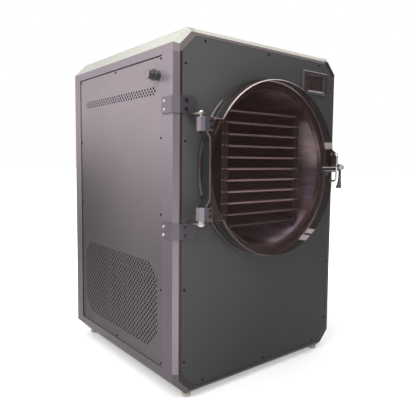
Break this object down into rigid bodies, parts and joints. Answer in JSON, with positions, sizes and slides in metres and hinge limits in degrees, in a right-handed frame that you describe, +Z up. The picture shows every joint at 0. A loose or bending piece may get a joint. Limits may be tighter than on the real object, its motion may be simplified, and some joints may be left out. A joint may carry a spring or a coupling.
{
  "type": "freeze dryer",
  "caption": "Cabinet freeze dryer: round vacuum chamber with a shelf rack behind a thick clear hinged door with a quarter-turn latch, vented side, display and vacuum port.",
  "frame": {"origin": "centre of the overall footprint, on the surface the feet stand on", "axes": "+Z up, -Y out of the door, +X to the latch side"},
  "size_m": [0.568, 0.644, 0.812],
  "materials": {
    "frame_paint": "satin powder coat, warm grey",
    "edge_paint": "satin powder coat, lighter grey",
    "casting_paint": "satin powder coat, dark grey",
    "side_paint": "satin powder coat, mauve grey",
    "front_paint": "satin powder coat, dark neutral grey",
    "zinc_sheet": "galvanised sheet",
    "foot_pad": "cream",
    "black_screw": "black oxide",
    "hinge_paint": "satin powder coat",
    "chrome": "polished",
    "chamber_steel": "drawn stainless sheet",
    "collar_black": "gloss black enamel",
    "gasket_rubber": "smooth",
    "keeper_black": "gloss black",
    "rack_metal": "anodised dark",
    "shelf_metal": "satin anodised",
    "rivet": "satin",
    "display_frame": "satin dark grey",
    "display_glass": "dark touch glass",
    "port_black": "dark moulded",
    "port_steel": "satin",
    "copper": "drawn copper tube",
    "foam_jacket": "closed cell foam",
    "compressor_black": "gloss black",
    "fin_stack": "coppery fins",
    "motor_grey": "satin",
    "fan_plastic": "black",
    "inlet_plastic": "black",
    "pin_metal": "bright",
    "switch_red": "red",
    "valve_brass": "cast, machined",
    "lever_red": "dipped red",
    "clear_acrylic": "polished clear acrylic"
  },
  "bodies": {
    "cabinet": {"post_front_left": "frame_paint", "post_front_right": "frame_paint", "posts_rear": "frame_paint", "rail_front_top": "frame_paint", "rail_front_bottom": "frame_paint", "rail_rear_top": "frame_paint", "rail_rear_bottom": "frame_paint", "edge_rail_top_left": "edge_paint", "edge_rail_top_right": "edge_paint", "edge_rails_bottom": "frame_paint", "corner_castings": "casting_paint", "top_panel": "side_paint", "left_panel": "side_paint", "right_panel": "side_paint", "rear_panel": "front_paint", "base_pan": "zinc_sheet", "front_panel": "front_paint", "feet": "foot_pad", "panel_screws": "black_screw", "hinge_bracket_upper": "hinge_paint", "hinge_bracket_lower": "hinge_paint", "bracket_screws": "black_screw", "hinge_pins": "chrome", "chamber": "chamber_steel", "chamber_collar": "collar_black", "door_gasket": "gasket_rubber", "latch_keeper": "keeper_black", "rack_side_left": "rack_metal", "rack_side_right": "rack_metal", "rack_shelves": "shelf_metal", "rack_screws": "rivet", "display_bezel": "display_frame", "display_screen": "display_glass", "port_fitting": "port_black", "port_nut": "port_black", "port_cap": "port_steel", "vacuum_line": "port_steel", "evaporator_coil": "copper", "insulation_jacket": "foam_jacket", "compressor": "compressor_black", "condenser_fins": "fin_stack", "condenser_frame": "zinc_sheet", "fan_shroud": "zinc_sheet", "fan_motor": "motor_grey", "control_box": "zinc_sheet", "power_inlet": "inlet_plastic", "inlet_pins": "pin_metal", "drain_line": "port_steel", "drain_valve": "valve_brass"},
    "door": {"door_panel": "clear_acrylic", "door_bracket_upper": "hinge_paint", "door_bracket_lower": "hinge_paint", "door_screws": "black_screw", "pull_handle": "chrome", "latch_body": "chrome"},
    "latch": {"latch_lever": "keeper_black"},
    "fan": {"fan_rotor": "fan_plastic"},
    "switch": {"power_switch": "switch_red"},
    "drain_handle": {"drain_lever": "lever_red"}
  },
  "joints": [
    {"name": "door_hinge", "type": "hinge", "parent": "cabinet", "child": "door", "pos_m": [-0.2158, -0.293, 0.514], "axis": [0, 0, -1], "range_deg": [0, 135]},
    {"name": "latch_turn", "type": "hinge", "parent": "door", "child": "latch", "pos_m": [0.232, -0.316, 0.5177], "axis": [0, -1, 0], "range_deg": [0, 90]},
    {"name": "fan_spin", "type": "hinge", "parent": "cabinet", "child": "fan", "pos_m": [-0.166, -0.057, 0.188], "axis": [1, 0, 0], "continuous": true},
    {"name": "switch_rock", "type": "hinge", "parent": "cabinet", "child": "switch", "pos_m": [0.155, 0.269, 0.149], "axis": [1, 0, 0], "range_deg": [0, 18]},
    {"name": "drain_turn", "type": "hinge", "parent": "cabinet", "child": "drain_handle", "pos_m": [0.014, 0.29, 0.122], "axis": [0, 0, 1], "range_deg": [0, 90]}
  ]
}
